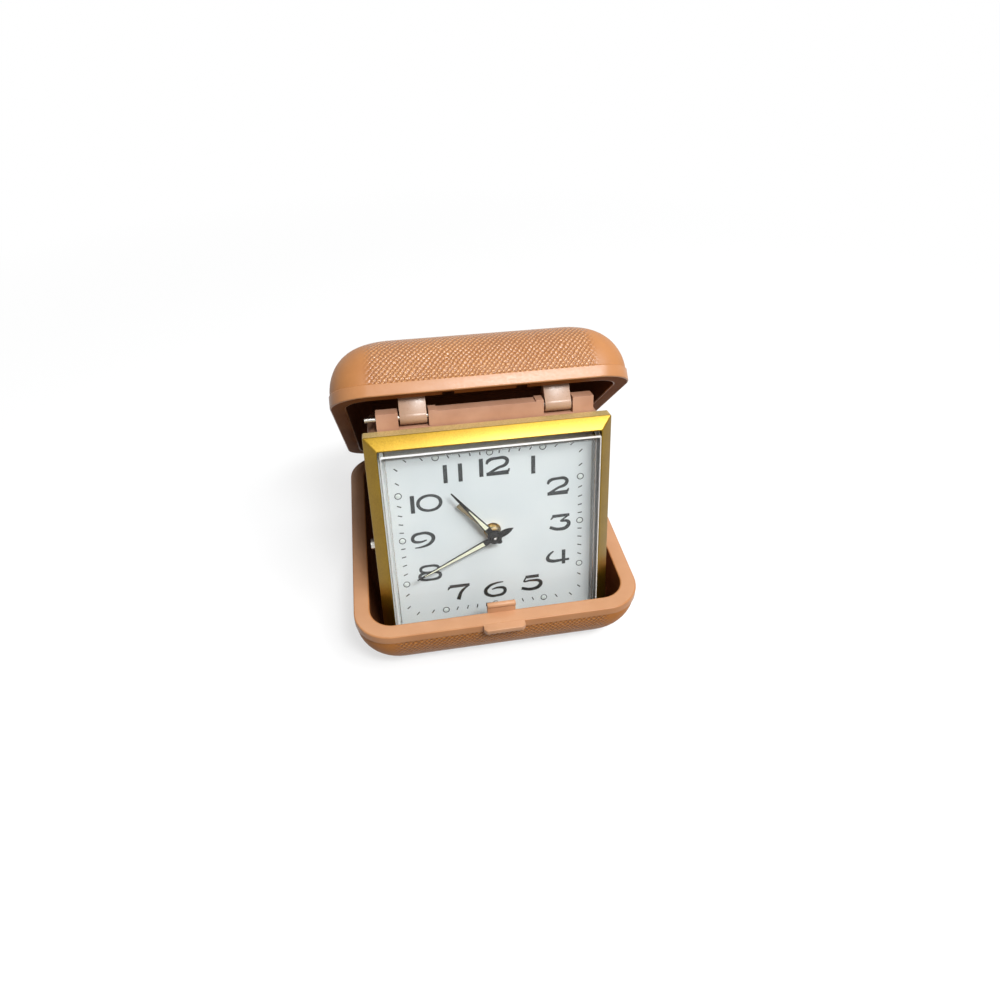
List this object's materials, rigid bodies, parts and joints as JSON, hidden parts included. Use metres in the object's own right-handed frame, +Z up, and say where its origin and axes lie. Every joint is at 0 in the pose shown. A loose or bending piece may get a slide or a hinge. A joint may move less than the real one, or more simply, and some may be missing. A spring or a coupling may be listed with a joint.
{
  "type": "travel alarm clock",
  "caption": "Folding travel alarm clock: a square wind-up clock hung on a rod hinge in the lid of a two-part moulded case, shown standing open.",
  "frame": {"origin": "middle of the flat bottom of the base, on the table", "axes": "+X to the right seen from the front, +Y away from the viewer, +Z up"},
  "size_m": [0.08, 0.0926, 0.0822],
  "materials": {
    "case_plastic": "moulded caramel plastic with a leather grain and smooth rims",
    "clock_plastic": "moulded rosy-brown plastic",
    "brass": "satin brass",
    "steel": "bright drawn steel",
    "crystal": "clear moulded",
    "dial_white": "silvery white matt lacquer",
    "hand_black": "black lacquer"
  },
  "bodies": {
    "base": {"base_shell": "case_plastic", "back_hinge_pin": "steel"},
    "lid": {"lid_shell": "case_plastic"},
    "clock": {"rear_case": "clock_plastic", "hinge_rod": "steel", "side_studs": "steel", "bezel": "brass", "crystal": "crystal", "dial": "dial_white", "front_plate": "brass", "back_plate": "brass", "movement_pillars": "steel", "case_screws": "steel", "time_mainspring": "steel", "alarm_mainspring": "steel"},
    "minute": {"centre_arbor": "brass", "minute_hand": "hand_black", "time_set_knob": "brass"},
    "hour": {"hour_wheel": "brass", "hour_hand": "hand_black"},
    "minute_work": {"minute_wheel": "brass"},
    "alarm_setting": {"alarm_set_arbor": "steel", "alarm_set_knob": "brass"},
    "alarm_indicator": {"alarm_wheel": "brass", "alarm_hand": "brass"},
    "time_drive": {"time_great_wheel": "brass"},
    "time_winding": {"time_winding_key": "brass"},
    "alarm_drive": {"alarm_great_wheel": "brass"},
    "alarm_winding": {"alarm_winding_key": "brass"},
    "third": {"third_wheel": "brass"},
    "fourth": {"fourth_wheel": "brass"},
    "escape": {"escape_wheel": "brass"},
    "lever": {"pallet_lever": "steel"},
    "balance": {"balance_wheel": "brass", "hairspring": "steel"},
    "alarm_escape": {"alarm_escape_wheel": "brass"},
    "striker": {"alarm_hammer": "steel"},
    "regulating": {"regulator": "steel"},
    "alarm_stopping": {"alarm_stop": "steel"}
  },
  "joints": [
    {"name": "lid_hinge", "type": "hinge", "parent": "base", "child": "lid", "pos_m": [0, 0.0409, 0.0146], "axis": [-1, 0, 0], "range_deg": [0, 48.6]},
    {"name": "clock_hinge", "type": "hinge", "parent": "lid", "child": "clock", "pos_m": [0, -0.01137, 0.06756], "axis": [1, 0, 0], "range_deg": [0, 54.7]},
    {"name": "minute_turn", "type": "hinge", "parent": "clock", "child": "minute", "pos_m": [0, -0.0218, 0.03435], "axis": [0, -0.9812, 0.1932], "continuous": true},
    {"name": "hour_turn", "type": "hinge", "parent": "clock", "child": "hour", "pos_m": [0, -0.0218, 0.03435], "axis": [0, -0.9812, 0.1932], "continuous": true},
    {"name": "minute_wheel_turn", "type": "hinge", "parent": "clock", "child": "minute_work", "pos_m": [0.00788, -0.02153, 0.03571], "axis": [0, -0.9812, 0.1932], "continuous": true},
    {"name": "alarm_set_turn", "type": "hinge", "parent": "clock", "child": "alarm_setting", "pos_m": [0.00167, -0.02363, 0.02507], "axis": [0, -0.9812, 0.1932], "continuous": true},
    {"name": "alarm_hand_turn", "type": "hinge", "parent": "clock", "child": "alarm_indicator", "pos_m": [0, -0.0218, 0.03435], "axis": [0, -0.9812, 0.1932], "continuous": true},
    {"name": "time_great_wheel_turn", "type": "hinge", "parent": "clock", "child": "time_drive", "pos_m": [-0.01044, -0.02274, 0.02958], "axis": [0, -0.9812, 0.1932], "continuous": true},
    {"name": "time_key_turn", "type": "hinge", "parent": "clock", "child": "time_winding", "pos_m": [-0.01044, -0.02274, 0.02958], "axis": [0, -0.9812, 0.1932], "continuous": true},
    {"name": "alarm_great_wheel_turn", "type": "hinge", "parent": "clock", "child": "alarm_drive", "pos_m": [0.0132, -0.02306, 0.02797], "axis": [0, -0.9812, 0.1932], "continuous": true},
    {"name": "alarm_key_turn", "type": "hinge", "parent": "clock", "child": "alarm_winding", "pos_m": [0.0132, -0.02306, 0.02797], "axis": [0, -0.9812, 0.1932], "continuous": true},
    {"name": "third_wheel_turn", "type": "hinge", "parent": "clock", "child": "third", "pos_m": [0, -0.02014, 0.04283], "axis": [0, -0.9812, 0.1932], "continuous": true},
    {"name": "fourth_wheel_turn", "type": "hinge", "parent": "clock", "child": "fourth", "pos_m": [-0.00643, -0.01909, 0.04812], "axis": [0, -0.9812, 0.1932], "continuous": true},
    {"name": "escape_wheel_turn", "type": "hinge", "parent": "clock", "child": "escape", "pos_m": [-0.00061, -0.01844, 0.05142], "axis": [0, -0.9812, 0.1932], "continuous": true},
    {"name": "pallet_lever_rock", "type": "hinge", "parent": "clock", "child": "lever", "pos_m": [0.00536, -0.01834, 0.05194], "axis": [0, -0.9812, 0.1932], "range_deg": [-5, 5]},
    {"name": "balance_swing", "type": "hinge", "parent": "clock", "child": "balance", "pos_m": [0.013, -0.0191, 0.04809], "axis": [0, -0.9812, 0.1932], "range_deg": [-150, 150], "stiffness_Nm_per_rad": 0.0000035},
    {"name": "alarm_escape_wheel_turn", "type": "hinge", "parent": "clock", "child": "alarm_escape", "pos_m": [0.01618, -0.02091, 0.03889], "axis": [0, -0.9812, 0.1932], "continuous": true},
    {"name": "alarm_hammer_swing", "type": "hinge", "parent": "clock", "child": "striker", "pos_m": [0.021, -0.02006, 0.04318], "axis": [0, -0.9812, 0.1932], "range_deg": [-4, 4]},
    {"name": "regulator_turn", "type": "hinge", "parent": "clock", "child": "regulating", "pos_m": [0.013, -0.0191, 0.04809], "axis": [0, -0.9812, 0.1932], "range_deg": [-20, 20]},
    {"name": "alarm_stop_slide", "type": "slide", "parent": "clock", "child": "alarm_stopping", "axis": [0, 0.1932, 0.9812], "range_m": [0, 0.003]}
  ],
  "couplings": [
    {"joint": "clock_hinge", "follows": "lid_hinge", "ratio": 1.1255},
    {"joint": "hour_turn", "follows": "minute_turn", "ratio": 0.083333},
    {"joint": "minute_wheel_turn", "follows": "minute_turn", "ratio": -0.33333},
    {"joint": "time_great_wheel_turn", "follows": "minute_turn", "ratio": -0.14286},
    {"joint": "third_wheel_turn", "follows": "minute_turn", "ratio": -8},
    {"joint": "alarm_hand_turn", "follows": "alarm_set_turn", "ratio": -0.33333},
    {"joint": "escape_wheel_turn", "follows": "fourth_wheel_turn", "ratio": -5},
    {"joint": "alarm_escape_wheel_turn", "follows": "alarm_great_wheel_turn", "ratio": -7}
  ]
}
